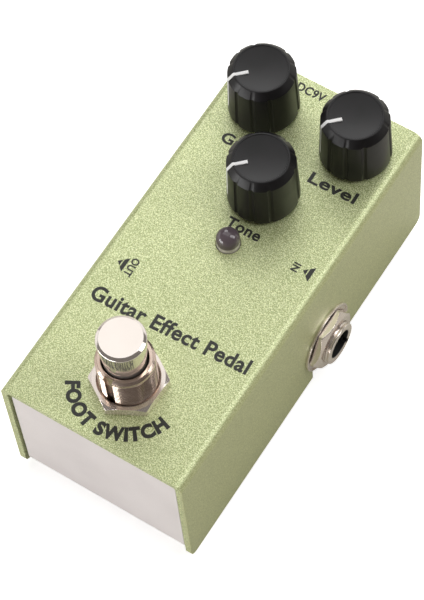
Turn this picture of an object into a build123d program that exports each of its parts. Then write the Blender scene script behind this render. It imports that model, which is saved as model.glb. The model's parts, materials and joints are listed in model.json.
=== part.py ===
from build123d import *
import os
from math import atan, cos, degrees, radians, tan

# A small guitar effects pedal: a painted U-shaped cover over a bare U-shaped tray, three knobs, a lamp,
# a latching footswitch, two 6.35 mm jacks and a 9 V inlet.
# Millimetres. Origin: centre of the rubber pad's underside. +X: input jack, +Y: rear (9 V inlet), +Z: up.

# enclosure
cover_width = 42.0
cover_length = 90.7
cover_height = 34.2
sheet = 1.5
cover_bend = 2.2  # outer radius of the cover's two long bends
wall_corner = 1.8  # rounding of the side walls' lower corners
pad_drop = 1.5  # the pad stands this far below the cover's lower edges
top = pad_drop + cover_height
under_top = top - sheet
inner_x = cover_width / 2 - sheet

tray_sheet = 1.2
tray_width = 38.0
tray_inset = 0.5  # the end panels sit this far inside the cover's ends
tray_base = 2.0  # height of the tray's underside
tray_bend = 2.5
tray_floor = tray_base + tray_sheet
tray_end = cover_length / 2 - tray_inset

screw_x = 15.0
screw_y = 37.5
screw_radius = 1.5
screw_head_radius = 2.8
screw_head_height = 1.6

led_hole = 2.58

# controls on the top, as places on its face
knob_places = {"gain": (-10.6, 35.3), "level": (11.2, 35.3), "tone": (0.3, 17.6)}
led_place = (0.2, 4.4)
switch_place = (0.2, -31.5)

# knob, as heights above the top
knob_gap = 0.6
knob_edge = 12.35
knob_height = 13.9
knob_foot_radius = 7.43
knob_edge_radius = 6.84
knob_disc_radius = 5.5
knob_recess_radius = 6.2
flat_start = 4.2  # the shaft's flatted end, as heights above the top
flat_end = 11.2
pointer_angle = -135.0  # fully anticlockwise
pointer_width = 0.75
pointer_depth = 0.35
pointer_start = 2.7  # radius of the line's inner end
pointer_foot = 3.1

# potentiometer
pot_depth = 6.8
pot_x, pot_y = 9.6, 11.0
shaft_radius = 3.0
shaft_clearance = 0.05
pot_thread = 3.5
pot_nut_flats = 10.0
pot_washer = 0.5
wiper_radius = 4.1
wafer_thickness = 1.0
nut_relief_angle = 35.0

# footswitch, as heights above the top
cap_head_radius = 4.95  # the cap widens upward, and its widest part stays above the collar when pressed
cap_foot_radius = 4.3
cap_height = 19.5
collar_height = 10.8
collar_radius = 5.9
collar_bore = 4.68
switch_nut_flats = 14.0
switch_nut_height = 2.3
switch_travel = 3.0
switch_side = 17.0

# jacks: the sockets share a height and are staggered so that two plugs pass each other
jack_height = pad_drop + 10.1
input_y = 6.6
output_y = -10.2
jack_bore = 3.2
jack_thread = 4.7
jack_reach = 24.6  # the sleeve's outer end, from the centre plane
jack_body_side = 15.6
jack_body_end = -6.0  # inner end of the input jack's body
washer_radius = 7.9
washer_thickness = 0.6
jack_nut_flats = 12.7
jack_nut_thickness = 1.8
slot_width = 10.5

# 9 V inlet
dc_x = -3.9
dc_pin = 1.05
dc_barrel = 2.9
dc_nose = 4.0

# boards
board = 1.6
board_half = 17.5
board_corner = 1.0
tail_length = 0.8  # solder tails below a board, and ends above it
main_top = under_top - pot_depth
main_bottom = main_top - board
jack_board_bottom = jack_height + jack_body_side / 2
jack_board_top = jack_board_bottom + board
dc_height = main_bottom - 6.5


def block(x, y, z):
    """A box from three (low, high) pairs."""
    size = [pair[1] - pair[0] for pair in (x, y, z)]
    middle = [(pair[0] + pair[1]) / 2 for pair in (x, y, z)]
    return Pos(*middle) * Box(*size)


def centred(x, y, z, wide, deep):
    """A box of a given plan size about (x, y), between the two heights z."""
    return block((x - wide / 2, x + wide / 2), (y - deep / 2, y + deep / 2), z)


def rod(x, y, z, radius):
    """An upright cylinder between the two heights z."""
    return Pos(x, y, z[0]) * Cylinder(radius, z[1] - z[0], align=(Align.CENTER, Align.CENTER, Align.MIN))


def tube(x, y, z, outer, bore):
    return rod(x, y, z, outer) - rod(x, y, (z[0] - 1, z[1] + 1), bore)


def hex_nut(x, y, z, flats, bore, turn, relief):
    """A hexagonal nut whose upper corners are turned down to lens-shaped flats."""
    corner = flats / 2 / cos(radians(30))
    height = z[1] - z[0]
    prism = extrude(RegularPolygon(corner, 6), height)
    turned = Cylinder(corner, height, align=(Align.CENTER, Align.CENTER, Align.MIN))
    rim = turned.edges().sort_by(Axis.Z)[-1]
    turned = chamfer(rim, relief, relief * tan(radians(nut_relief_angle)))
    hole = Cylinder(bore, 3 * height)
    return Pos(x, y, z[0]) * Rot(0, 0, turn) * ((prism & turned) - hole)


def all_of(*shapes):
    """Separate solids kept together in one node."""
    return Compound(children=[solid for shape in shapes for solid in shape.solids()])


def turned_profile(points):
    """A solid of revolution about Z from (radius, height) points."""
    face = make_face(Polyline(*[(r, 0, z) for r, z in points], close=True))
    return revolve(face, Axis.Z)


# ---------------------------------------------------------------- enclosure


def jack_slots(depth):
    """The openings that let the cover slide down over the two jacks, one through each side wall."""
    shapes = []
    for side, y in ((1, input_y), (-1, output_y)):
        x = (inner_x - depth, inner_x + depth) if side > 0 else (-inner_x - depth, -inner_x + depth)
        slot = block(x, (y - slot_width / 2, y + slot_width / 2), (pad_drop - 1, jack_height))
        crown = Pos(side * inner_x, y, jack_height) * Rot(0, 90, 0) * Cylinder(slot_width / 2, 2 * depth)
        shapes.append(slot + crown)
    return shapes


def top_cover():
    half_x, half_y = cover_width / 2, cover_length / 2
    outer = block((-half_x, half_x), (-half_y, half_y), (pad_drop, top))
    outer = fillet(outer.edges().filter_by(Axis.Y).group_by(Axis.Z)[-1], cover_bend)
    inner = block((-inner_x, inner_x), (-half_y - 1, half_y + 1), (pad_drop - 1, under_top))
    inner = fillet(inner.edges().filter_by(Axis.Y).group_by(Axis.Z)[-1], cover_bend - sheet)
    side_view = block((-half_x - 1, half_x + 1), (-half_y, half_y), (pad_drop, top + 1))
    side_view = fillet(side_view.edges().filter_by(Axis.X).group_by(Axis.Z)[0], wall_corner)
    cover = (outer - inner) & side_view

    tab_reach, tab_width = 8.0, 9.0
    for side in (-1, 1):
        for end in (-1, 1):
            x = sorted((side * (inner_x - tab_reach), side * (inner_x + sheet / 2)))
            y = (end * screw_y - tab_width / 2, end * screw_y + tab_width / 2)
            cover += block(x, y, (tray_floor, tray_floor + sheet))
            cover -= rod(side * screw_x, end * screw_y, (tray_floor - 1, tray_floor + 4), screw_radius)

    for slot in jack_slots(4):
        cover -= slot
    for x, y in knob_places.values():
        cover -= rod(x, y, (under_top - 1, top + 1), pot_thread)
    cover -= rod(*led_place, (under_top - 1, top + 1), led_hole)
    cover -= rod(*switch_place, (under_top - 1, top + 1), collar_radius)
    return cover


def base_tray():
    half_x, panel_top = tray_width / 2, under_top - 0.25
    outer = block((-half_x, half_x), (-tray_end, tray_end), (tray_base, panel_top))
    outer = fillet(outer.edges().filter_by(Axis.X).group_by(Axis.Z)[0], tray_bend)
    outer = fillet(outer.edges().filter_by(Axis.Y).group_by(Axis.Z)[-1], 2.0)
    inner_end = tray_end - tray_sheet
    inner = block((-half_x - 1, half_x + 1), (-inner_end, inner_end), (tray_floor, panel_top + 1))
    inner = fillet(inner.edges().filter_by(Axis.X).group_by(Axis.Z)[0], tray_bend - tray_sheet)
    tray = outer - inner
    for x in (-screw_x, screw_x):
        for y in (-screw_y, screw_y):
            tray -= rod(x, y, (tray_base - 1, tray_floor + 1), screw_radius + 0.2)
    nose_hole = Pos(dc_x, tray_end, dc_height) * Rot(90, 0, 0) * Cylinder(dc_nose + 0.2, 6)
    return tray - nose_hole


def base_screws():
    """Four pan-head screws up through the tray into the cover's tapped tabs."""
    cross_length, cross_width, head_rounding = 3.0, 0.7, 0.7
    head_low = tray_base - screw_head_height
    slots = [Rot(0, 0, turn) * Box(cross_length, cross_width, screw_head_height) for turn in (0, 90)]
    screws = []
    for x in (-screw_x, screw_x):
        for y in (-screw_y, screw_y):
            head = rod(x, y, (head_low, tray_base), screw_head_radius)
            head = fillet(head.edges().sort_by(Axis.Z)[0], head_rounding)
            cross = Pos(x, y, head_low) * (slots[0] + slots[1])
            shank = rod(x, y, (tray_base - 0.1, tray_floor + sheet + 1.0), screw_radius - 0.02)
            screws.append(head - cross + shank)
    return all_of(*screws)


def rubber_pad():
    wide, long, corner, edge = 34.0, 62.0, 4.0, 0.3
    pad = centred(0, 0, (0, tray_base), wide, long)
    pad = fillet(pad.edges().filter_by(Axis.Z), corner)
    return chamfer(pad.edges().group_by(Axis.Z)[0], edge)


# ---------------------------------------------------------------- knobs and potentiometers


def knob_blank(x, y, inset=0.0):
    """The knob's turned outline: a slightly tapered side, a broad bevel and a flat disc."""
    points = (
        (0, knob_gap),
        (knob_foot_radius - inset, knob_gap),
        (knob_edge_radius - inset, knob_edge - 0.4 * inset),
        (knob_disc_radius - 0.4 * inset, knob_height - inset),
        (0, knob_height - inset),
    )
    return Pos(x, y, top) * turned_profile(points)


def knob_pointer(x, y):
    """The white line let into the disc, the bevel and the side."""
    along = (pointer_start, knob_foot_radius + 1)
    plate = block(along, (-pointer_width / 2, pointer_width / 2), (pointer_foot, knob_height + 1))
    plate = Pos(x, y, top) * Rot(0, 0, pointer_angle) * plate
    skin = knob_blank(x, y) - knob_blank(x, y, pointer_depth)
    return plate & skin


def knob(x, y):
    """Three groups of three flutes leave three broad lobes, one of them under the pointer."""
    flute_radius, flute_step, flute_outset = 0.6, 30, 0.25
    dish_depth, dish_inset = 0.15, 0.45
    lean = (knob_foot_radius - knob_edge_radius) / (knob_edge - knob_gap)
    middle = (knob_gap + knob_edge) / 2
    axis_radius = (knob_foot_radius + knob_edge_radius) / 2 + flute_outset
    shape = knob_blank(x, y)
    tilt = -degrees(atan(lean))
    for step in range(12):
        if step % 4 == 0:
            continue
        cutter = Pos(axis_radius, 0, middle) * Rot(0, tilt, 0) * Cylinder(flute_radius, 3 * knob_height)
        shape -= Pos(x, y, top) * Rot(0, 0, pointer_angle + flute_step * step) * cutter
    dish = rod(x, y, (top + knob_height - dish_depth, top + knob_height + 1), knob_disc_radius - dish_inset)
    recess = rod(x, y, (top, top + flat_start), knob_recess_radius)
    return shape - dish - recess - pot_shaft_end(x, y) - knob_pointer(x, y)


def pot_shaft_end(x, y):
    """The flatted end that the knob is pressed on."""
    flat_offset, flat_low = 2.0, 4.0
    end = rod(x, y, (top + flat_start, top + flat_end), shaft_radius)
    reach = shaft_radius + 1
    cut = block((-reach, -flat_offset), (-reach, reach), (flat_low, flat_end + 1))
    return end - Pos(x, y, top) * Rot(0, 0, pointer_angle) * cut


def pot_shaft(x, y):
    """The turning part: flatted end, round shaft and the wiper disc inside the housing."""
    disc_low, disc_high = main_top + wafer_thickness + 0.4, main_top + wafer_thickness + 1.6
    shaft = rod(x, y, (disc_high, top + flat_start), shaft_radius)
    disc = rod(x, y, (disc_low, disc_high), wiper_radius)
    return pot_shaft_end(x, y) + shaft + disc


def pot_housing(x, y):
    """Case and threaded bush in one casting, open below for the track wafer."""
    corner, bush_height, bush_gap, hollow_height = 0.6, 3.5, 0.03, 2.9
    case = centred(x, y, (main_top, under_top), pot_x, pot_y)
    case = fillet(case.edges().filter_by(Axis.Z), corner)
    bush = rod(x, y, (under_top, top + bush_height), pot_thread - bush_gap)
    bush = chamfer(bush.edges().sort_by(Axis.Z)[-1], 0.3)
    hollow = rod(x, y, (main_top - 1, main_top + hollow_height), wiper_radius + 0.2)
    return case + bush - hollow - rod(x, y, (main_top, top + 5), shaft_radius + shaft_clearance)


def pot_wafer(x, y):
    """The track disc with its three pins, which pass through the main board."""
    pin_pitch, pin_offset, pin_radius = 1.9, -3.0, 0.35
    wafer = rod(x, y, (main_top, main_top + wafer_thickness), wiper_radius + 0.1)
    for step in (-1, 0, 1):
        wafer += rod(x + step * pin_pitch, y + pin_offset, (main_bottom - 1.2, main_top + 0.2), pin_radius)
    return wafer


def pot_nuts():
    z = (top + pot_washer, top + pot_washer + 2.0)
    turn, relief = 15.0, 0.5
    return all_of(*[hex_nut(x, y, z, pot_nut_flats, pot_thread, turn, relief) for x, y in knob_places.values()])


def pot_washers():
    outer = 5.4
    return all_of(*[tube(x, y, (top, top + pot_washer), outer, pot_thread) for x, y in knob_places.values()])


# ---------------------------------------------------------------- indicator lamp

led_radius = 2.45
led_tip = top + 4.05
led_seat = led_tip - 8.6
led_flange = 2.9
led_lead = 0.3
led_pitch = 2.54
led_lead_top = led_seat + 4.4


def led_lead_rods(low, high):
    x, y = led_place
    return [rod(x + side * led_pitch / 2, y, (low, high), led_lead) for side in (-1, 1)]


def led_lens():
    x, y = led_place
    dome_centre = led_tip - led_radius
    stem = rod(x, y, (led_seat, dome_centre), led_radius)
    dome = Pos(x, y, dome_centre) * Sphere(led_radius)
    flange = rod(x, y, (led_seat, led_seat + 1.0), led_flange)
    lens = stem + dome + flange
    for lead in led_lead_rods(led_seat - 1, led_lead_top):
        lens -= lead
    return lens


def led_leads():
    return all_of(*led_lead_rods(main_bottom - 1.2, led_lead_top))


def led_spacer():
    x, y = led_place
    spacer = rod(x, y, (main_top, led_seat), 2.5)
    for lead in led_lead_rods(main_top - 1, led_seat + 1):
        spacer -= lead
    return spacer


# ---------------------------------------------------------------- footswitch

lock_washer = 0.6
inner_nut = 2.3
frame_top = under_top - lock_washer - inner_nut
frame_plate = 1.0
body_top = frame_top - frame_plate
body_bottom = body_top - 12.0
lug_length = 3.0
switch_board_top = body_bottom - lug_length
cap_bottom = top + 5.0
spring_wire = 0.6
keyway_angle = -92.0
keyway_width = 2.0
keyway_depth = 0.8
stem_radius = 2.0
stem_seat = cap_bottom + 9.0  # top of the stem's bore in the cap
strap_half = 4.0
strap_sheet = 0.6
pocket_floor = body_bottom + 1.5
lug_pitch = (4.6, 4.8)


def switch_bushing():
    x, y = switch_place
    collar = rod(x, y, (frame_top, top + collar_height), collar_radius - 0.02)
    collar = chamfer(collar.edges().group_by(Axis.Z)[-1], 0.45)
    collar -= rod(x, y, (frame_top - 1, top + collar_height + 1), collar_bore)
    keyway = Box(2 * keyway_depth, keyway_width, 4 * collar_height)
    return collar - Pos(x, y, top) * Rot(0, 0, keyway_angle) * Pos(collar_radius, 0, 0) * keyway


def switch_cap():
    x, y = switch_place
    low, high, rounding = cap_bottom - top, cap_height, 0.7
    points = (
        (0, low),
        (cap_foot_radius, low),
        (cap_foot_radius, collar_height),
        (cap_head_radius, high - rounding),
        (cap_head_radius, high),
        (0, high),
    )
    cap = Pos(x, y, top) * turned_profile(points)
    cap = fillet(cap.edges().sort_by(Axis.Z)[-1], rounding * 0.95)
    return cap - rod(x, y, (cap_bottom - 1, stem_seat), stem_radius)


def switch_plunger():
    """The rod that the cap is pressed on. Its foot works the rockers in the switch body."""
    x, y = switch_place
    foot_high, foot_low, foot_radius, nose_radius = body_top - 4.0, body_top - 5.5, 3.6, 1.4
    stem = rod(x, y, (foot_high, stem_seat), stem_radius)
    foot = rod(x, y, (foot_low, foot_high), foot_radius)
    nose = Pos(x, y, foot_low) * Sphere(nose_radius)
    return stem + foot + nose


def switch_spring():
    """Coil between the frame's plate and the cap."""
    x, y = switch_place
    low, high = frame_top + spring_wire / 2, cap_bottom - spring_wire / 2
    mean_radius, turns = 3.3, 5
    path = Helix((high - low) / turns, high - low, mean_radius)
    section = Plane(origin=path @ 0, z_dir=path % 0) * Circle(spring_wire / 2)
    return Pos(x, y, low) * sweep(section, path, is_frenet=True)


def switch_nut():
    x, y = switch_place
    turn, relief = -91.7, 0.9
    return hex_nut(x, y, (top, top + switch_nut_height), switch_nut_flats, collar_radius, turn, relief)


def switch_inner_nut():
    x, y = switch_place
    turn, relief = 0.0, 0.6
    return hex_nut(x, y, (frame_top, frame_top + inner_nut), switch_nut_flats, collar_radius, turn, relief)


def switch_lock_washer():
    """Internal-tooth washer."""
    x, y = switch_place
    teeth, outer = 12, 8.4
    notch = Pos(collar_radius, 0, 0) * Box(1.6, 0.9, 4 * lock_washer)
    washer = tube(x, y, (under_top - lock_washer, under_top), outer, collar_radius)
    for step in range(teeth):
        washer -= Pos(x, y, under_top - lock_washer / 2) * Rot(0, 0, 360 / teeth * step) * notch
    return washer


def switch_strap(side, outset, high):
    """One of the frame's two straps, or the channel for it where outset takes it past the body's side."""
    x, y = switch_place
    half = switch_side / 2
    strap_x = sorted((x + side * (half + outset), x + side * (half - strap_sheet)))
    return block(strap_x, (y - strap_half, y + strap_half), (body_bottom + 1.0, high))


def switch_frame():
    """Folded steel plate over the body, with a strap down each side."""
    x, y = switch_place
    stem_gap = 0.08
    plate = centred(x, y, (body_top, frame_top), switch_side, switch_side)
    plate += switch_strap(-1, 0, frame_top)
    plate += switch_strap(1, 0, frame_top)
    return plate - rod(x, y, (body_top - 1, frame_top + 1), stem_radius + stem_gap)


def switch_body():
    x, y = switch_place
    pocket = (12.0, 13.0)
    body = centred(x, y, (body_bottom, body_top), switch_side, switch_side)
    body = body - switch_strap(-1, 1, body_top + 1) - switch_strap(1, 1, body_top + 1)
    body -= centred(x, y, (pocket_floor, body_top), *pocket)
    for lug in lug_places():
        body -= lug_blade(*lug)
    return body


def lug_places():
    x, y = switch_place
    return [(x + lug_pitch[0] * column, y + lug_pitch[1] * row) for column in (-1, 0, 1) for row in (-1, 0, 1)]


def lug_blade(x, y):
    wide, thick, proud = 2.0, 0.8, 0.8
    return centred(x, y, (switch_board_top - board - proud, pocket_floor), wide, thick)


def switch_lugs():
    return all_of(*[lug_blade(*place) for place in lug_places()])


def switch_rockers():
    """One contact rocker on each row of lugs."""
    x, y = switch_place
    wide, long, thick = 2.4, 10.5, 0.5
    z = (pocket_floor, pocket_floor + thick)
    return all_of(*[centred(x + lug_pitch[0] * column, y, z, wide, long) for column in (-1, 0, 1)])


def switch_board():
    x, y = switch_place
    half, rear = 10.0, 12.8
    plate = block((x - half, x + half), (y - half, y + rear), (switch_board_top - board, switch_board_top))
    plate = fillet(plate.edges().filter_by(Axis.Z), board_corner)
    for lug in lug_places():
        plate -= lug_blade(*lug)
    return plate


# ---------------------------------------------------------------- jacks
# Each jack is drawn on the input side. The output jack is the same part turned half a turn about Z.

sleeve_start = inner_x - 4.0
leaf = (5.2, 5.6)  # heights of the contact leaves above the jack's axis
leaf_half = 1.6


def placed_jack(shape, side):
    """Puts a part drawn on the input jack's axis, at y = 0, on its own side."""
    if side > 0:
        return Pos(0, input_y, jack_height) * shape
    return Pos(0, output_y, jack_height) * Rot(0, 0, 180) * shape


def along_x(x, radius):
    """A cylinder on the jack's axis between two distances from the centre plane."""
    return Pos((x[0] + x[1]) / 2, 0, 0) * Rot(0, 90, 0) * Cylinder(radius, x[1] - x[0])


def jack_bushing(side):
    sleeve = along_x((sleeve_start, jack_reach), jack_thread)
    sleeve = chamfer(sleeve.edges().group_by(Axis.X)[-1], 0.3)
    return placed_jack(sleeve - along_x((sleeve_start - 1, jack_reach + 1), jack_bore), side)


def jack_body(side):
    half, corner, end_wall = jack_body_side / 2, 0.8, 1.2
    hollow_y, hollow_z = (-5.2, 5.2), (-6.0, 6.0)
    body = block((jack_body_end, inner_x), (-half, half), (-half, half))
    body = fillet(body.edges().filter_by(Axis.X), corner)
    body -= along_x((sleeve_start, inner_x + 1), jack_thread)
    body -= block((jack_body_end + end_wall, sleeve_start), hollow_y, hollow_z)
    return placed_jack(body - contact_pin(tip_pin_x) - contact_pin(sleeve_pin_x), side)


tip_pin_x = -2.5
sleeve_pin_x = 13.0


def contact_pin(x):
    """A contact's tail, up through the body and the jack board."""
    return centred(x, 0, (leaf[1], jack_body_side / 2 + board + tail_length), 1.4, 1.0)


def jack_tip_contact(side):
    """The leaf that meets the plug's tip, in its free state just clear of the bore."""
    kink_x, kink_radius = 0.5, 1.6
    strip = block((tip_pin_x - 0.7, 11.0), (-leaf_half, leaf_half), leaf)
    kink = Pos(kink_x, 0, leaf[0]) * Rot(90, 0, 0) * Cylinder(kink_radius, 2 * leaf_half)
    kink &= block((kink_x - 2, kink_x + 2), (-2, 2), (leaf[0] - 2, leaf[0] + 0.1))
    return placed_jack(strip + kink + contact_pin(tip_pin_x), side)


def jack_sleeve_contact(side):
    """The strip that joins the metal sleeve to the board."""
    foot = block((sleeve_pin_x - 0.7, sleeve_start), (-leaf_half, leaf_half), leaf)
    heel = block((sleeve_start - 0.4, sleeve_start), (-leaf_half, leaf_half), (jack_bore + 0.4, leaf[1]))
    return placed_jack(foot + heel + contact_pin(sleeve_pin_x), side)


def jack_washers():
    x = (cover_width / 2, cover_width / 2 + washer_thickness)
    ring = along_x(x, washer_radius) - along_x((x[0] - 1, x[1] + 1), jack_thread)
    return all_of(placed_jack(ring, 1), placed_jack(ring, -1))


def jack_nuts():
    start, turn, relief = cover_width / 2 + washer_thickness, 0.0, 1.4
    nut = hex_nut(0, 0, (0, jack_nut_thickness), jack_nut_flats, jack_thread, turn, relief)
    nut = Pos(start, 0, 0) * Rot(0, 90, 0) * Rot(0, 0, 90) * nut
    return all_of(placed_jack(nut, 1), placed_jack(nut, -1))


def jack_board():
    plate = block((-board_half, board_half), (-18.5, 15.0), (jack_board_bottom, jack_board_top))
    plate = fillet(plate.edges().filter_by(Axis.Z), board_corner)
    for side in (1, -1):
        for x in (tip_pin_x, sleeve_pin_x):
            plate -= placed_jack(contact_pin(x), side)
    return plate - board_header_pins()


# ---------------------------------------------------------------- 9 V inlet


def along_y(y, radius):
    """A cylinder on the inlet's axis."""
    return Pos(dc_x, (y[0] + y[1]) / 2, dc_height) * Rot(90, 0, 0) * Cylinder(radius, y[1] - y[0])


dc_face = tray_end - tray_sheet
dc_back = dc_face - 13.0
dc_back_wall = 3.5
dc_half = 4.4


def dc_jack_body():
    body = block((dc_x - dc_half, dc_x + dc_half), (dc_back, dc_face), (dc_height - 4.5, main_bottom))
    body += along_y((dc_face - 1, tray_end), dc_nose)
    body -= along_y((dc_back + dc_back_wall, tray_end + 1), dc_barrel)
    return body - dc_pin_root() - dc_contact_tail() - dc_contact_leaf()


def dc_pin_root():
    return along_y((dc_back - tail_length, dc_back + dc_back_wall), dc_pin + 0.35)


def dc_jack_pin():
    """The centre pin, with a thicker root riveted in the body."""
    pin = along_y((dc_back + dc_back_wall, dc_face), dc_pin)
    return fillet(pin.edges().sort_by(Axis.Y)[-1], 0.3) + dc_pin_root()


def dc_contact_tail():
    leaf_top = dc_height + dc_barrel + 0.5
    return centred(dc_x, dc_back + 5.0, (leaf_top, main_top + tail_length), 1.6, 0.8)


def dc_contact_leaf():
    half, y = 1.4, (dc_back + 4.6, dc_back + 12.0)
    z = (dc_height + dc_barrel + 0.1, dc_height + dc_barrel + 0.5)
    return block((dc_x - half, dc_x + half), y, z)


def dc_jack_contact():
    """The leaf that meets the outside of the plug's barrel."""
    return dc_contact_leaf() + dc_contact_tail()


# ---------------------------------------------------------------- boards and what is on them


def board_header_pins():
    """Row of pins that carries the signals from the jack board up to the main board."""
    first_x, y, pitch, side, count = -15.9, 13.2, 1.27, 0.6, 6
    z = (jack_board_bottom - tail_length, main_top + tail_length)
    return all_of(*[centred(first_x + pitch * step, y, z, side, side) for step in range(count)])


def main_board():
    plate = block((-board_half, board_half), (-6.0, 43.0), (main_bottom, main_top))
    plate = fillet(plate.edges().filter_by(Axis.Z), board_corner)
    for x, y in knob_places.values():
        plate -= pot_wafer(x, y)
    plate = plate - led_leads() - board_header_pins() - dc_contact_tail() - op_amp_legs()
    return plate


chip_place = (-11.5, 7.0)
chip_pitch = 2.54
chip_row = 3.81  # from the chip's middle line to each row of legs
leg_width = 0.6
leg_thickness = 0.3
leg_top = main_top + 2.0


def op_amp_leg_rows():
    """The y places of the four legs in each row."""
    return [chip_place[1] + chip_pitch * (step - 1.5) for step in range(4)]


def op_amp_legs():
    z = (main_bottom - tail_length, leg_top)
    legs = []
    for side in (-1, 1):
        x = chip_place[0] + chip_row * side
        legs += [centred(x, y, z, leg_thickness, leg_width) for y in op_amp_leg_rows()]
    return all_of(*legs)


def op_amp_chip():
    x, y = chip_place
    wide, long, low, high = 6.4, 9.6, main_top + 0.5, main_top + 3.8
    chip = centred(x, y, (low, high), wide, long)
    chip -= rod(x, y + long / 2, (high - 0.6, high + 1), 0.9)
    for side in (-1, 1):
        shoulder_x = sorted((x + side * wide / 2, x + side * (chip_row - leg_thickness / 2)))
        for leg_y in op_amp_leg_rows():
            leg_y_pair = (leg_y - leg_width / 2, leg_y + leg_width / 2)
            chip += block(shoulder_x, leg_y_pair, (leg_top - leg_thickness, leg_top))
    return chip + op_amp_legs()


def electrolytic_capacitors():
    places = ((-12.5, 22.0), (6.5, 24.0), (13.0, 24.0))
    radius, height, rounding = 2.5, 7.0, 0.4
    cans = []
    for x, y in places:
        can = rod(x, y, (main_bottom - height, main_bottom), radius)
        cans.append(fillet(can.edges().group_by(Axis.Z)[0], rounding))
    return all_of(*cans)


def film_capacitors():
    height, rounding = 5.0, 0.3
    lying, standing = (7.2, 2.6), (3.0, 7.2)  # plan sizes
    placed = ((10.5, 0.5, lying), (10.5, -3.5, lying), (-6.0, -2.5, lying), (14.5, 18.5, standing))
    boxes = []
    for x, y, size in placed:
        box = centred(x, y, (main_top, main_top + height), *size)
        boxes.append(fillet(box.edges().group_by(Axis.Z)[-1], rounding))
    return all_of(*boxes)


def resistors():
    """Small axial resistors lying on the main board."""
    left = ((-14.5, -3.0), (-12.0, 17.0), (-12.0, 20.5), (-12.0, 24.0))
    right = ((8.5, 14.0), (14.5, 26.0), (8.5, 25.5))
    barrel = Rot(90, 0, 0) * Cylinder(0.9, 3.4)
    wire = Rot(90, 0, 0) * Cylinder(0.25, 6.0)
    shape = barrel + wire + Pos(0, 1.5, 0) * Sphere(1.0) + Pos(0, -1.5, 0) * Sphere(1.0)
    return all_of(*[Pos(x, y, main_top + 1.0) * shape for x, y in left + right])


ribbon_thickness = 0.9
ribbon_height = main_bottom - 3.0
ribbon_drop_y = switch_place[1] + 11.0
ribbon_start_y = -1.0
ribbon_bend = 2.5
ribbon_half = 5.5
connector_half = 6.5
connector_height = 2.6
connector_depth = 3.0


def ribbon_cable():
    """Flat cable from the main board forward and down to the switch board."""
    half, x = ribbon_thickness / 2, (-ribbon_half, ribbon_half)
    outer, inner = ribbon_bend + half, ribbon_bend - half
    centre_y, centre_z = ribbon_drop_y + ribbon_bend, ribbon_height - ribbon_bend
    level = block(x, (centre_y, ribbon_start_y), (ribbon_height - half, ribbon_height + half))
    fall_z = (switch_board_top + connector_height, centre_z)
    fall = block(x, (ribbon_drop_y - half, ribbon_drop_y + half), fall_z)
    ring = Cylinder(outer, 2 * ribbon_half) - Cylinder(inner, 4 * ribbon_half)
    curve = Pos(0, centre_y, centre_z) * Rot(0, 90, 0) * ring
    quarter = block(x, (centre_y - outer, centre_y), (centre_z, centre_z + outer))
    return level + (curve & quarter) + fall


def ribbon_connectors():
    x, half = (-connector_half, connector_half), connector_depth / 2
    upper_y = (ribbon_start_y, ribbon_start_y + connector_depth)
    upper = block(x, upper_y, (main_bottom - 4.2, main_bottom))
    lower_z = (switch_board_top, switch_board_top + connector_height)
    lower = block(x, (ribbon_drop_y - half, ribbon_drop_y + half), lower_z)
    return all_of(upper, lower)


parts = {
    "top_cover": top_cover(),
    "base_tray": base_tray(),
    "base_screws": base_screws(),
    "rubber_pad": rubber_pad(),
    "pot_nuts": pot_nuts(),
    "pot_washers": pot_washers(),
    "led_lens": led_lens(),
    "led_leads": led_leads(),
    "led_spacer": led_spacer(),
    "switch_cap": switch_cap(),
    "switch_plunger": switch_plunger(),
    "switch_spring": switch_spring(),
    "switch_bushing": switch_bushing(),
    "switch_nut": switch_nut(),
    "switch_inner_nut": switch_inner_nut(),
    "switch_lock_washer": switch_lock_washer(),
    "switch_frame": switch_frame(),
    "switch_body": switch_body(),
    "switch_lugs": switch_lugs(),
    "switch_rockers": switch_rockers(),
    "switch_board": switch_board(),
    "jack_washers": jack_washers(),
    "jack_nuts": jack_nuts(),
    "jack_board": jack_board(),
    "dc_jack_body": dc_jack_body(),
    "dc_jack_pin": dc_jack_pin(),
    "dc_jack_contact": dc_jack_contact(),
    "main_board": main_board(),
    "board_header_pins": board_header_pins(),
    "op_amp_chip": op_amp_chip(),
    "electrolytic_capacitors": electrolytic_capacitors(),
    "film_capacitors": film_capacitors(),
    "resistors": resistors(),
    "ribbon_cable": ribbon_cable(),
    "ribbon_connectors": ribbon_connectors(),
}
for name, place in knob_places.items():
    parts[f"{name}_knob"] = knob(*place)
    parts[f"{name}_knob_pointer"] = knob_pointer(*place)
    parts[f"{name}_pot_shaft"] = pot_shaft(*place)
    parts[f"{name}_pot_housing"] = pot_housing(*place)
    parts[f"{name}_pot_wafer"] = pot_wafer(*place)
for name, side in (("input", 1), ("output", -1)):
    parts[f"{name}_jack_bushing"] = jack_bushing(side)
    parts[f"{name}_jack_body"] = jack_body(side)
    parts[f"{name}_jack_tip_contact"] = jack_tip_contact(side)
    parts[f"{name}_jack_sleeve_contact"] = jack_sleeve_contact(side)

os.makedirs("parts", exist_ok=True)
for name, shape in parts.items():
    export_step(shape, f"parts/{name}.step")
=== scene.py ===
import json
import math

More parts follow.
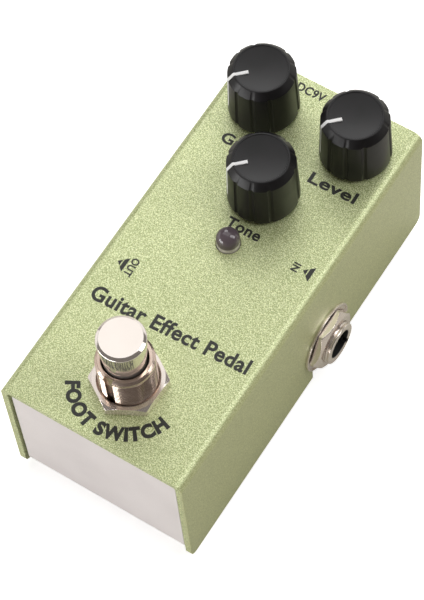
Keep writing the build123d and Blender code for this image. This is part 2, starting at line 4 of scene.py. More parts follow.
import bmesh
import bpy
import numpy as np
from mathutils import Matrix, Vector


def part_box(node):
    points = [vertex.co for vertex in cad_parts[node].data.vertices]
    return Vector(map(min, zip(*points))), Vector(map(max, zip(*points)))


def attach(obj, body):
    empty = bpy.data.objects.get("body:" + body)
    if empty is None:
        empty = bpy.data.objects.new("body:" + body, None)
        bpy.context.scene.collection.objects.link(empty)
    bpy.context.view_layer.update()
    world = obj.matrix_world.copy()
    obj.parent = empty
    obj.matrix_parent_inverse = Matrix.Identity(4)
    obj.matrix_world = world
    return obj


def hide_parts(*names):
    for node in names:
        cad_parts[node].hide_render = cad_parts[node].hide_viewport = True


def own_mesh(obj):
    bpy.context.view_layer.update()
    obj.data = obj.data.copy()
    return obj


mm = 0.001
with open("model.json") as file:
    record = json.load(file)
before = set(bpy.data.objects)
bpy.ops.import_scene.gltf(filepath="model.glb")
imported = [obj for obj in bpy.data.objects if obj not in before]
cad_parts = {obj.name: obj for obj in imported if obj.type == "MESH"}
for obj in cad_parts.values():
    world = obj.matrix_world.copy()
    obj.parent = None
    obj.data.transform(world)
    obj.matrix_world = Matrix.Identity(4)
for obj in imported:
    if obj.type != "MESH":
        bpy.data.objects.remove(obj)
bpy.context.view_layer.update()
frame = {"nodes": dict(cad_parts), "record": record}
print("frame loaded:", len(frame["nodes"]), "nodes")

slotOf = {part["node"]: part["material_slot"] for part in frame["record"]["subparts"]}
bodyOf = {node: body for body, nodes in frame["record"]["behaviour"]["bodies"].items() for node in nodes}


def middle(node):  # centre of a node's box, in millimetres
    low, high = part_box(node)
    return np.array((low + high) / 2) / mm


def topOf(node):
    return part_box(node)[1].z / mm


coverTop = topOf("top_cover")

# materials


class Recipe:  # one material and its nodes, all reading Object coordinates
    def __init__(self, name):
        self.material = bpy.data.materials.new(name)
        self.material.use_nodes = True
        self.tree = self.material.node_tree
        self.shader = self.tree.nodes["Principled BSDF"]
        self.where = self.tree.nodes.new("ShaderNodeTexCoord").outputs["Object"]

    def feed(self, socket, value):  # links another node's output, or sets a plain value
        if isinstance(value, bpy.types.NodeSocket):
            self.tree.links.new(value, socket)
        else:
            socket.default_value = value

    def node(self, kind, links=None, **values):  # links: a socket's name, and the output that feeds it
        made = self.tree.nodes.new(kind)
        for key, value in values.items():
            if key in made.inputs:
                made.inputs[key].default_value = value
            else:
                setattr(made, key, value)
        for key, source in (links or {}).items():
            self.tree.links.new(source, made.inputs[key])
        return made

    def noise(self, scale, detail=3.0, roughness=0.5):
        made = self.node("ShaderNodeTexNoise", {"Vector": self.where}, Scale=scale, Detail=detail)
        made.inputs["Roughness"].default_value = roughness
        return made.outputs["Fac"]

    def cells(self, scale):
        return self.node("ShaderNodeTexVoronoi", {"Vector": self.where}, Scale=scale).outputs["Color"]

    def ramp(self, source, stops):  # stops: (position, colour)
        made = self.node("ShaderNodeValToRGB", {"Fac": source})
        while len(made.color_ramp.elements) < len(stops):
            made.color_ramp.elements.new(0.5)
        for element, (position, colour) in zip(made.color_ramp.elements, stops):
            element.position = position
            element.color = (*colour, 1) if len(colour) == 3 else colour
        return made.outputs["Color"]

    def along(self, axis):  # distance from the middle along one axis
        part = self.node("ShaderNodeSeparateXYZ", {"Vector": self.where}).outputs[axis]
        return self.node("ShaderNodeMath", {0: part}, operation="ABSOLUTE").outputs[0]

    def span(self, source, low, high, fromLow=0.0, fromHigh=1.0):
        made = self.node("ShaderNodeMapRange", {"Value": source})
        made.inputs["From Min"].default_value = fromLow
        made.inputs["From Max"].default_value = fromHigh
        made.inputs["To Min"].default_value = low
        made.inputs["To Max"].default_value = high
        return made.outputs["Result"]

    def blended(self, factor, first, second, kind="MIX"):
        made = self.tree.nodes.new("ShaderNodeMix")
        made.data_type, made.blend_type = "RGBA", kind
        for socket, value in ((made.inputs[0], factor), (made.inputs[6], first), (made.inputs[7], second)):
            self.feed(socket, value)
        return made.outputs[2]

    def bumps(self, height, depth, strength=1.0):  # depth in millimetres
        made = self.node("ShaderNodeBump", {"Height": height}, Distance=depth * mm)
        self.feed(made.inputs["Strength"], strength)
        self.tree.links.new(made.outputs["Normal"], self.shader.inputs["Normal"])

    def into(self, **sources):  # the shader's sockets, with _ for the spaces in their names
        for key, source in sources.items():
            self.feed(self.shader.inputs[key.replace("_", " ")], source)
        return self.material


# camera and stage

camera = dict(  # angles in degrees, lengths in millimetres
    azimuth=38.54, elevation=62.35, roll=-6.92, distance=527.5, aim=(-5.66, 4.39, 5.15),
    lens=150.46, sensor=36, nearest=50, furthest=20000,
)


def stood(name, data, axes, place):  # an object whose own x, y and z axes are the three given
    matrix = np.eye(4)
    matrix[:3, :3] = np.column_stack(axes)
    matrix[:3, 3] = np.array(place) * mm
    holder = bpy.data.objects.new(name, data)
    bpy.context.scene.collection.objects.link(holder)
    holder.matrix_world = matrix.T.tolist()
    return holder


def addCamera(look):  # azimuth and elevation point back from the aim, and roll turns the view about that line
    azimuth, elevation, roll = (math.radians(look[k]) for k in ("azimuth", "elevation", "roll"))
    back = np.array((
        math.sin(azimuth) * math.cos(elevation), -math.cos(azimuth) * math.cos(elevation), math.sin(elevation)
    ))
    right = np.array((math.cos(azimuth), math.sin(azimuth), 0))
    up = np.cross(back, right)
    turnedRight = math.cos(roll) * right + math.sin(roll) * up
    turnedUp = math.cos(roll) * up - math.sin(roll) * right
    data = bpy.data.cameras.new("camera")
    data.sensor_width, data.lens = look["sensor"], look["lens"]
    data.clip_start, data.clip_end = look["nearest"] * mm, look["furthest"] * mm
    place = np.array(look["aim"]) + look["distance"] * back
    bpy.context.scene.camera = stood("camera", data, (turnedRight, turnedUp, back), place)


studio = dict(
    world=0.10,
    worldColour=(1.0, 0.88, 0.78, 1),
    floorSeen=(0.95, 0.95, 0.95, 1),  # the floor's colour to the camera
    floorBounce=(0.68, 0.66, 0.60, 1),  # its colour where it lights the pedal from below
    floorGlow=0.65,
    floorReach=3000,
    floorDrop=0.05,  # the floor lies this far under the pad
    lights=(  # name, place and aim in millimetres, width, height, radiance
        ("ceiling", (-420, 520, 800), (-420, 521, 0), 1180, 1180, 1.06),
        ("leftRear", (-330, 600, 560), (0, 0, 30), 720, 420, 2.4),
        ("left", (-720, -260, 130), (0, 0, 60), 900, 260, 0.9),
        ("rear", (150, 760, 130), (0, 0, 60), 900, 260, 0.9),
        ("right", (560, 320, 620), (0, 0, 30), 360, 760, 3.8),
        ("front", (-260, -700, 125), (0, 0, 30), 900, 240, 6.2),
    ),
)


def addLight(name, place, aim, width, height, radiance):
    # a panel's power is its radiance times pi times its area
    data = bpy.data.lights.new(name, "AREA")
    data.shape = "RECTANGLE"
    data.size, data.size_y = width * mm, height * mm
    data.energy = radiance * math.pi * data.size * data.size_y
    forward = np.array(aim, float) - np.array(place, float)
    forward /= np.linalg.norm(forward)
    side = np.cross(forward, (0, 0, 1.0))
    side /= np.linalg.norm(side)
    stood(name, data, (side, np.cross(side, forward), -forward), place)


def addStudio():
    world = bpy.data.worlds.new("studio")
    bpy.context.scene.world = world
    world.use_nodes = True
    background = world.node_tree.nodes["Background"]
    background.inputs["Color"].default_value = studio["worldColour"]
    background.inputs["Strength"].default_value = studio["world"]
    for light in studio["lights"]:
        addLight(*light)
    mesh = bpy.data.meshes.new("floor")
    reach, drop = studio["floorReach"] * mm, studio["floorDrop"] * mm
    corners = [(x * reach, y * reach, -drop) for x, y in ((-1, -1), (1, -1), (1, 1), (-1, 1))]
    mesh.from_pydata(corners, [], [(0, 1, 2, 3)])
    floor = bpy.data.objects.new("floor", mesh)
    bpy.context.scene.collection.objects.link(floor)
    mesh.materials.append(floorWhite())


def floorWhite():  # white to the camera, and darker where it lights the pedal from below
    look = Recipe("floorWhite")
    direct = look.node("ShaderNodeLightPath").outputs["Is Camera Ray"]
    colour = look.blended(direct, studio["floorBounce"], studio["floorSeen"])
    glow = look.span(direct, 0.0, studio["floorGlow"])
    return look.into(
        Base_Color=colour, Roughness=0.8, Specular_IOR_Level=0.0,
        Emission_Color=(1, 1, 1, 1), Emission_Strength=glow,
    )


addCamera(camera)
addStudio()
bpy.context.scene.view_settings.view_transform = "Standard"
print("camera and studio")

finishes = {}
paint = dict(  # two patterns' scales, the raised grain's height, and where the smooth sides begin, which get a browner tone as painted shade
    grain=4600, fleck=4200, grainHeight=0.022,
    sideFrom=19.9, sideTo=20.8, sideShadeColour=(0.55, 0.57, 0.285, 1),
)


def coverPaint():  # olive-green metallic paint with a sparkling, slightly raised grain
    look = Recipe("coverPaint")
    grain = look.noise(paint["grain"], 1.5, roughness=0.6)
    fleck = look.ramp(look.cells(paint["fleck"]), ((0.2, (0.32, 0.34, 0.30)), (0.8, (0.70, 0.68, 0.62))))
    greens = ((0.36, (0.31, 0.37, 0.16)), (0.50, (0.54, 0.60, 0.295)), (0.64, (0.87, 0.92, 0.59)))
    base = look.ramp(grain, greens)
    topColour = look.blended(0.4, base, fleck, "SOFT_LIGHT")
    onSide = look.span(look.along("X"), 0.0, 0.6, paint["sideFrom"] * mm, paint["sideTo"] * mm)
    # painted shade: the bends and sides take a browner, plainer tone than the top, for how light falls on
    # them
    colour = look.blended(onSide, topColour, paint["sideShadeColour"])
    look.bumps(grain, paint["grainHeight"], look.span(onSide, 0.9, 0.1))
    rough = look.span(grain, 0.36, 0.5, 0.3, 0.7)
    return look.into(Base_Color=colour, Metallic=0.35, Roughness=rough, Coat_Weight=0.4, Coat_Roughness=0.25)


def trayMetal():  # bare satin aluminium
    look = Recipe("trayMetal")
    wide = look.noise(60, 3.0)
    fine = look.noise(2500, 2.0)
    colour = look.ramp(wide, ((0.3, (0.80, 0.755, 0.76)), (0.7, (0.88, 0.835, 0.84))))
    look.bumps(fine, 0.004, 0.6)
    return look.into(Base_Color=colour, Metallic=0.3, Roughness=look.span(fine, 0.42, 0.56, 0.3, 0.7))


def knobPlastic():  # black satin moulding
    look = Recipe("knobPlastic")
    fine = look.noise(1800, 3.0)
    wide = look.noise(220, 2.0)
    colour = look.ramp(wide, ((0.3, (0.006, 0.006, 0.006)), (0.7, (0.010, 0.009, 0.010))))
    look.bumps(fine, 0.006, 0.5)
    rough = look.span(wide, 0.30, 0.38, 0.3, 0.7)
    return look.into(Base_Color=colour, Roughness=rough, Specular_IOR_Level=0.30)


def simpleFinish(name, dark, light, metallic, rough, scale=400, bump=0.004):
    look = Recipe(name)
    mottle = look.noise(scale, 3.0)
    colour = look.ramp(mottle, ((0.3, dark), (0.7, light)))
    look.bumps(look.noise(scale * 5, 2.0), bump, 0.6)
    sheen = look.span(mottle, *rough, 0.3, 0.7)
    return look.into(Base_Color=colour, Metallic=metallic, Roughness=sheen)


finishes["green_paint"] = coverPaint()
finishes["bare_aluminium"] = trayMetal()
finishes["black_plastic"] = knobPlastic()
plain = {  # slot: darker colour, lighter colour, metallic, roughness range, mottle scale, bump
    "white_plastic": ((0.80, 0.80, 0.80), (0.88, 0.88, 0.87), 0.0, (0.35, 0.45), 300, 0.004),
    "chrome": ((0.86, 0.79, 0.73), (0.92, 0.85, 0.79), 0.85, (0.09, 0.14), 120, 0.0006),
    "nickel": ((0.74, 0.66, 0.60), (0.86, 0.79, 0.73), 0.75, (0.14, 0.22), 300, 0.001),
    "steel": ((0.50, 0.50, 0.50), (0.62, 0.62, 0.63), 1.0, (0.28, 0.40), 300, 0.003),
    "rubber": ((0.015, 0.015, 0.016), (0.030, 0.030, 0.032), 0.0, (0.75, 0.9), 900, 0.03),
    "tinned_metal": ((0.60, 0.59, 0.56), (0.72, 0.71, 0.68), 1.0, (0.25, 0.4), 500, 0.003),
    "brass": ((0.62, 0.45, 0.18), (0.74, 0.56, 0.26), 1.0, (0.22, 0.34), 500, 0.003),
    "green_board": ((0.02, 0.12, 0.05), (0.04, 0.20, 0.09), 0.0, (0.25, 0.4), 700, 0.004),
    "brown_phenolic": ((0.20, 0.11, 0.05), (0.30, 0.18, 0.08), 0.0, (0.45, 0.6), 500, 0.01),
    "blue_plastic": ((0.03, 0.08, 0.30), (0.05, 0.12, 0.42), 0.0, (0.3, 0.42), 500, 0.004),
    "film_red": ((0.35, 0.03, 0.03), (0.50, 0.06, 0.05), 0.0, (0.2, 0.35), 500, 0.006),
    "resistor_tan": ((0.52, 0.38, 0.22), (0.66, 0.52, 0.34), 0.0, (0.35, 0.5), 700, 0.004),
    "ribbon_grey": ((0.35, 0.35, 0.36), (0.48, 0.48, 0.49), 0.0, (0.45, 0.6), 700, 0.006),
}
for slot, recipe in plain.items():
    finishes[slot] = simpleFinish(slot + "Finish", *recipe)

lens = dict(paintedReflectionTo=0.9, smokyFrom=1.3)  # heights over the cover: below the first the lens is painted light cream as painted reflection, above the second it is smoky


def smokyLens():  # smoky dome over a light foot whose cream colour is painted reflection
    look = Recipe("smokyLens")
    drift = look.noise(300, 2.0)
    dome = look.ramp(drift, ((0.3, (0.13, 0.10, 0.115)), (0.7, (0.18, 0.14, 0.16))))
    paintedReflectionTo, smokyFrom = ((coverTop + lens[k]) * mm for k in ("paintedReflectionTo", "smokyFrom"))
    upper = look.span(look.along("Z"), 0.0, 1.0, paintedReflectionTo, smokyFrom)
    # painted reflection: the foot's light cream stands for the bright ring its lower wall reflects
    colour = look.blended(upper, (0.88, 0.82, 0.76, 1), dome)
    look.bumps(drift, 0.003, 0.3)
    return look.into(Base_Color=colour, Roughness=0.06, Transmission_Weight=0.25, IOR=1.6)


finishes["smoky_lens"] = smokyLens()


def labelInk():
    look = Recipe("labelInk")
    grain = look.noise(900, 2.0)
    colour = look.ramp(grain, ((0.3, (0.012, 0.013, 0.009)), (0.7, (0.022, 0.024, 0.017))))
    look.bumps(grain, 0.004, 0.4)
    return look.into(Base_Color=colour, Roughness=look.span(grain, 0.4, 0.55, 0.3, 0.7))


def sleeveMetalShadedBore(name, y, size):  # bright nickel outside, with painted shade in black inside the bore and its notch, round an axis along x
    look = Recipe(name)
    dark, light = plain["nickel"][:2]
    mottle = look.noise(300, 3.0)
    metal = look.ramp(mottle, ((0.3, dark), (0.7, light)))
    away = look.node("ShaderNodeVectorMath", {0: look.where}, operation="SUBTRACT")
    away.inputs[1].default_value = (0, y * mm, size["height"] * mm)
    flat = look.node("ShaderNodeVectorMath", {0: away.outputs[0]}, operation="MULTIPLY")
    flat.inputs[1].default_value = (0, 1, 1)
    radius = look.node("ShaderNodeVectorMath", {0: flat.outputs[0]}, operation="LENGTH").outputs["Value"]
    ring = look.span(radius, 0.0, 1.0, (size["notchReach"] + 0.1) * mm, (size["notchReach"] + 0.2) * mm)
    face = look.span(look.along("X"), 0.0, 1.0, (size["reach"] - 0.2) * mm, (size["reach"] - 0.1) * mm)
    pastNotch = look.node("ShaderNodeMath", {0: ring, 1: face}, operation="MAXIMUM").outputs[0]
    pastBore = look.span(radius, 0.0, 1.0, (size["bore"] + 0.02) * mm, (size["bore"] + 0.14) * mm)
    outside = look.node("ShaderNodeMath", {0: pastNotch, 1: pastBore}, operation="MINIMUM").outputs[0]
    # painted shade: black, unmetallic inside the bore and the notch, where the nickel lies in shade
    colour = look.blended(outside, (0.004, 0.004, 0.004, 1), metal)
    look.bumps(mottle, 0.001, 0.6)
    rough = look.span(outside, 0.6, 0.17)
    return look.into(Base_Color=colour, Metallic=look.span(outside, 0.0, 0.75), Roughness=rough)


finishes["ink"] = labelInk()
for node, holder in frame["nodes"].items():
    holder.data.materials.clear()
    holder.data.materials.append(finishes[slotOf[node]])
print("materials")

# shaping tools: every size below is in millimetres


def arcBetween(before, corner, after, radius, steps=8):
    # the corner becomes an arc that meets both straight runs: its centre lies on the line that halves the
    # corner, at the radius over the sine of half the angle, and its points turn evenly between the two runs
    before, corner, after = (np.array(p, float) for p in (before, corner, after))
    arriving, leaving = before - corner, after - corner
    arriving /= np.linalg.norm(arriving)
    leaving /= np.linalg.norm(leaving)
    half = math.acos(np.clip(arriving @ leaving, -1, 1)) / 2
    centre = corner + (arriving + leaving) / np.linalg.norm(arriving + leaving) * radius / math.sin(half)
    start = corner + arriving * radius / math.tan(half) - centre
    finish = corner + leaving * radius / math.tan(half) - centre
    share = np.linspace(0, 1, steps + 1)[:, None]
    sweep = math.pi - 2 * half
    return centre + (np.sin((1 - share) * sweep) * start + np.sin(share * sweep) * finish) / math.sin(sweep)


def outline(corners):  # corners are (radius, height, rounding)
    line = []
    for i, (r, z, rounding) in enumerate(corners):
        if rounding:
            line.append(arcBetween(corners[i - 1][:2], (r, z), corners[i + 1][:2], rounding))
        else:
            line.append(np.array([[r, z]], float))
    return np.vstack(line)


def subdivided(line, step, low=-1e9, high=1e9):  # adds points to the long runs between the two heights
    pieces = []
    for start, end in zip(line[:-1], line[1:]):
        inside = low <= min(start[1], end[1]) and max(start[1], end[1]) <= high
        count = max(1, math.ceil(np.linalg.norm(end - start) / step)) if inside else 1
        pieces.append(start + (end - start) * np.arange(count)[:, None] / count)
    return np.vstack(pieces + [line[-1:]])


def gridFaces(rows, columns, wrapRows=False):  # quads between neighbouring rows and columns, round each row
    firstRows = np.arange(rows if wrapRows else rows - 1)
    row, column = np.meshgrid(firstRows, np.arange(columns), indexing="ij")
    nextRow, nextColumn = (row + 1) % rows, (column + 1) % columns
    corners = (
        row * columns + column, row * columns + nextColumn,
        nextRow * columns + nextColumn, nextRow * columns + column,
    )
    return np.stack(corners, -1).reshape(-1, 4)


def around(count):  # equal angles over a full turn
    return np.arange(count) * 2 * math.pi / count


def turned(line, angles, shape=None, closed=True):
    # each (radius, height) point of the line goes round the upright axis through the angles, and
    # shape(radius, height, angle) changes its radius
    angle = angles[None, :]
    radius, height = line[:, :1] + 0 * angle, line[:, 1:] + 0 * angle
    if shape:
        radius = shape(radius, height, angle)
    points = np.stack((radius * np.cos(angle), radius * np.sin(angle), height), -1).reshape(-1, 3)
    return points, gridFaces(len(line), angle.shape[1], wrapRows=closed)


def placed(shape, x=0, y=0, z=0, axis="z"):  # moves a shape, and lays its axis along x or -x if asked
    points, faces = shape
    px, py, pz = points.T
    turnedPoints = {"z": (px, py, pz), "x": (pz, px, py), "-x": (-pz, -px, py)}[axis]
    return np.stack(turnedPoints, -1) + (x, y, z), faces


def joined(shapes):  # several shapes as one
    offset, points, faces = 0, [], []
    for shapePoints, shapeFaces in shapes:
        points.append(shapePoints)
        faces.append(shapeFaces + offset)
        offset += len(shapePoints)
    return np.vstack(points), np.vstack(faces)


def dressed(name, mesh, finish, body, replaced=()):  # a new piece on its body
    holder = bpy.data.objects.new(name, mesh)
    bpy.context.scene.collection.objects.link(holder)
    mesh.materials.clear()
    mesh.materials.append(finish)
    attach(holder, body)
    if replaced:
        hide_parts(*replaced)
    return holder


def shaped(name, node, shape, sharp=32, finish=None):  # a piece that stands for a CAD node
    points, faces = shape
    mesh = bpy.data.meshes.new(name)
    mesh.from_pydata((points * mm).tolist(), [], faces.tolist())
    work = bmesh.new()
    work.from_mesh(mesh)
    bmesh.ops.remove_doubles(work, verts=work.verts, dist=1e-6)
    bmesh.ops.recalc_face_normals(work, faces=work.faces)
    work.to_mesh(mesh)
    work.free()
    mesh.shade_smooth()
    mesh.set_sharp_from_angle(angle=math.radians(sharp))
    return dressed(name, mesh, finish or finishes[slotOf[node]], bodyOf[node], (node,))


def finished(name, node, bevel, sharp=25):  # a CAD node's own shape with its sharp edges softened
    work = bmesh.new()
    work.from_mesh(frame["nodes"][node].data)
    bmesh.ops.remove_doubles(work, verts=work.verts, dist=2e-6)
    bmesh.ops.dissolve_limit(work, angle_limit=math.radians(1), verts=work.verts, edges=work.edges)
    mesh = bpy.data.meshes.new(name)
    work.to_mesh(mesh)
    work.free()
    mesh.shade_smooth()
    mesh.set_sharp_from_angle(angle=math.radians(sharp))
    holder = dressed(name, mesh, finishes[slotOf[node]], bodyOf[node], (node,))
    soften = holder.modifiers.new("softEdges", "BEVEL")
    soften.width, soften.segments, soften.limit_method = bevel * mm, 2, "ANGLE"
    soften.angle_limit = math.radians(sharp)
    soften.harden_normals = True
    return holder


def softMin(first, second, width):  # the smaller of two, with a smooth turn where they cross
    blend = np.maximum(width - np.abs(first - second), 0) / width
    return np.minimum(first, second) - blend**2 * width / 4


def triangleWave(turns):  # 0 at whole turns, 1 halfway
    return 1 - np.abs(2 * (turns % 1) - 1)


# enclosure

enclosure = dict(coverEdge=0.18, trayEdge=0.15, screwEdge=0.12, padEdge=0.15)
finished("topCover", "top_cover", enclosure["coverEdge"])
finished("baseTray", "base_tray", enclosure["trayEdge"])
finished("baseScrews", "base_screws", enclosure["screwEdge"])
finished("rubberPad", "rubber_pad", enclosure["padEdge"])
print("enclosure")

# knobs

knob = dict(  # heights are over the cover
    gap=0.6, edge=12.35, height=13.9, footRadius=7.43, edgeRadius=6.98, discRadius=5.75,
    dishRadius=5.38, dishDepth=0.15, dishSag=0.42, recessRadius=6.2, recessHeight=4.2,
    boreRadius=3.04, boreHeight=11.25, pointerAngle=-135.0,
    fluteRadius=0.6, fluteOutset=0.25, fluteStep=30, fluteGroup=3, fluteFade=3, shoulder=0.1,
    dishRound=0.05, brimRound=0.06, discRound=0.16, edgeRound=0.14, footRound=0.25,
    recessRound=0.2, boreRound=0.1,
    bevelStep=0.07, sideStep=1.2, columns=480,  # the mesh's spacing down the bevel, down the side and round
)
pointer = dict(width=0.75, proud=0.05, sunk=0.3, start=2.7, foot=3.1, inset=0.14, round=0.09, step=0.3)


def knobLine(size):
    # the knob's half section, from the dish's middle down the side and back up the underside: the dish lies
    # below its rim by the sag times one less the square of the share of the way out
    top, gap, edge, recess, bore = (size[k] for k in ("height", "gap", "edge", "recessHeight", "boreHeight"))
    dish, rim, inner = top - size["dishDepth"], size["dishRadius"], size["boreRound"]
    share = np.linspace(0, 1, 14)
    hollow = np.column_stack((share * (rim - 0.1), dish - size["dishSag"] * (1 - share**2)))
    rest = outline((
        (rim - 0.1, dish, 0), (rim, dish, size["dishRound"]), (rim, top, size["brimRound"]),
        (size["discRadius"], top, size["discRound"]), (size["edgeRadius"], edge, size["edgeRound"]),
        (size["footRadius"], gap, size["footRound"]), (size["recessRadius"], gap, size["recessRound"]),
        (size["recessRadius"], recess, inner), (size["boreRadius"], recess, inner),
        (size["boreRadius"], bore, inner), (0, bore, 0),
    ))
    line = subdivided(np.vstack((hollow, rest)), size["bevelStep"], edge - 0.15, top - 0.1)
    return subdivided(line, size["sideStep"], gap, edge)


def fluted(size):
    # a flute is a leaning cylinder just outside the side: seen from the knob's axis its near wall lies at
    # c cos(a) - sqrt(f^2 - c^2 sin(a)^2), where c is its distance, f its radius and a the angle away from it
    lean = (size["footRadius"] - size["edgeRadius"]) / (size["edge"] - size["gap"])
    step = math.radians(size["fluteStep"])

    def shape(radius, height, angle):
        place = (angle - math.radians(size["pointerAngle"])) / step
        nearest = np.round(place)
        away = (place - nearest) * step
        distance = size["footRadius"] - lean * (height - size["gap"]) + size["fluteOutset"]
        across = distance * np.sin(away)
        depth = np.sqrt(np.maximum(size["fluteRadius"] ** 2 - across**2, 0))
        wall = distance * np.cos(away) - depth + 2 * np.maximum(np.abs(across) - size["fluteRadius"], 0)
        wall += size["fluteFade"] * np.maximum(height - size["edge"], 0)  # the flutes run out up the bevel
        plainPlace = nearest % (size["fluteGroup"] + 1) == 0  # one place between two groups has no flute
        wall = np.where(plainPlace, 2 * size["footRadius"], wall)
        outer = (radius > size["recessRadius"] + 0.05) | (height > size["boreHeight"] + 0.55)
        return np.where(outer, softMin(radius, wall, size["shoulder"]), radius)

    return shape


def pointerShape(size, line):
    # a rounded strip carried along the knob's outline: rows follow the path, columns go round the strip's
    # section, and each point stands off the path along its normal by the section's height
    top, dish, rim = size["height"], size["height"] - size["dishDepth"], size["dishRadius"]
    path = outline((
        (line["start"], dish - 0.05, 0), (rim - 0.1, dish, 0.2), (rim + 0.1, top, 0.08),
        (size["discRadius"], top, 0.3), (size["edgeRadius"], size["edge"], 0.3),
        (size["footRadius"] - line["inset"], line["foot"], 0),
    ))
    path = subdivided(path, line["step"])
    along = np.gradient(path, axis=0)
    along /= np.linalg.norm(along, axis=1)[:, None]
    outward = np.column_stack((-along[:, 1], along[:, 0]))
    half, turn = line["width"] / 2, line["round"]
    bend = np.linspace(0, math.pi / 2, 5)
    right = np.column_stack((half - turn + turn * np.cos(bend), line["proud"] - turn + turn * np.sin(bend)))
    left = right[::-1] * (-1, 1)
    section = np.vstack(([(half, -line["sunk"])], right, left, [(-half, -line["sunk"])]))
    ends = np.ones(len(path) + 2)
    ends[[0, -1]] = 0
    rows = np.concatenate(([0], np.arange(len(path)), [len(path) - 1]))
    lift = np.where(ends[:, None] > 0, section[None, :, 1], -line["sunk"] / 2)
    across = section[None, :, 0] * ends[:, None]
    radius = path[rows, 0][:, None] + outward[rows, 0][:, None] * lift
    height = path[rows, 1][:, None] + outward[rows, 1][:, None] * lift
    angle = math.radians(size["pointerAngle"])
    x = radius * math.cos(angle) - across * math.sin(angle)
    y = radius * math.sin(angle) + across * math.cos(angle)
    return np.stack((x, y, height), -1).reshape(-1, 3), gridFaces(len(rows), len(section))


knobShape = turned(knobLine(knob), around(knob["columns"]), fluted(knob), closed=False)
lineShape = pointerShape(knob, pointer)
for control in ("gain", "level", "tone"):
    x, y, _ = middle(control + "_pot_shaft")
    shaped(control + "Knob", control + "_knob", placed(knobShape, x, y, coverTop), sharp=38)
    linePlaced = placed(lineShape, x, y, coverTop)
    shaped(control + "KnobPointer", control + "_knob_pointer", linePlaced, sharp=40)
print("knobs")

# footswitch

footswitch = dict(
    capHead=4.95, capFoot=4.3, capRim=0.66, capDrop=0.55, capCrown=0.06, capColumns=128,
    stemRadius=2.03, stemHeight=9.0,
    collarRadius=5.88, bore=4.68, ring=5.35, chamfer=0.5, collarColumns=230,
    pitch=0.6, threadDepth=0.3, threadStart=1.5, plainTop=1.15, fadeTop=0.3,
    keyAngle=-92.0, keyWidth=2.0, keyDepth=0.8, keyCorner=0.004,
    nutFlats=14.0, nutRelief=0.9, nutTurn=-91.7, nutBore=5.92, nutCountersink=0.45,
)
threads = dict(rows=8, fadeFoot=0.3)  # rows of the mesh to a turn, and the height over which a thread begins
nut = dict(slope=35, foot=0.08, seam=0.02, blend=0.06, cornerBlend=0.1, rows=16, sideRows=8, columns=360)


def capShape(size, low, collarTop, high):
    # the crown falls by the square of the share of the way out, and the side tapers to the foot, which starts
    # at the collar's top; the stem fills the bore underneath
    head, foot, stem = size["capHead"], size["capFoot"], size["stemRadius"]
    crown, crownHeight, stemTop = head - size["capRim"], high - size["capCrown"], low + size["stemHeight"]
    share = np.linspace(0, 1, 8)
    top = np.column_stack((share * crown, high - size["capCrown"] * share**2))
    rest = outline((
        (crown * 0.98, crownHeight, 0), (crown, crownHeight, 0.15), (head, high - size["capDrop"], 0.3),
        (foot, collarTop, 0.5), (foot, low, 0.3), (stem, low, 0.2), (stem, stemTop, 0.1), (0, stemTop, 0),
    ))
    return turned(np.vstack((top, rest)), around(size["capColumns"]), closed=False)


def threadRows(size, radius, low, high):  # evenly spaced points down a threaded side
    rows = np.arange(low, high, size["pitch"] / threads["rows"])[::-1]
    return np.column_stack((np.full(len(rows), radius), rows))


def threadCut(size, height, angle, low, high):
    # the depth times a triangle wave of height over pitch less angle over a turn, fading out at both ends
    turnCount = height / size["pitch"] - angle / (2 * math.pi)
    fadeTop, fadeFoot = (high - height) / size["fadeTop"], (height - low) / threads["fadeFoot"]
    return size["threadDepth"] * triangleWave(turnCount) * np.clip(fadeTop, 0, 1) * np.clip(fadeFoot, 0, 1)


def collarShape(size, low, high):
    # a threaded tube whose keyway holds the radius inside a flat floor over the angle that its width covers
    radius, floor = size["collarRadius"], size["collarRadius"] - size["keyDepth"]
    threadTop, threadLow = high - size["plainTop"], coverTop + size["threadStart"]
    line = np.vstack((
        outline((
            (size["bore"], high - 1, 0), (size["bore"], high, 0.15), (size["ring"], high, 0.12),
            (radius, high - size["chamfer"], 0.12), (radius, threadTop + 0.05, 0),
        )),
        threadRows(size, radius, threadLow, threadTop),
        [(radius, low), (size["bore"], low)],
    ))
    edge, corner = math.asin(size["keyWidth"] / 2 / radius), size["keyCorner"]
    inside = np.linspace(-edge + 0.03, edge - 0.03, 11)
    key = np.array((-edge - corner, -edge + corner, *inside, edge - corner, edge + corner))
    rest = np.linspace(edge + 0.03, 2 * math.pi - edge - 0.03, size["collarColumns"])

    def shape(r, height, angle):
        away = angle - math.radians(size["keyAngle"])
        threaded = r - threadCut(size, height, angle, threadLow, threadTop)
        inKey = np.abs(np.sin(away)) * radius < size["keyWidth"] / 2
        inKey &= np.cos(away) > 0
        return np.where(inKey, np.minimum(threaded, floor / np.cos(away)), threaded)

    return turned(line, math.radians(size["keyAngle"]) + np.concatenate((key, rest)), shape)


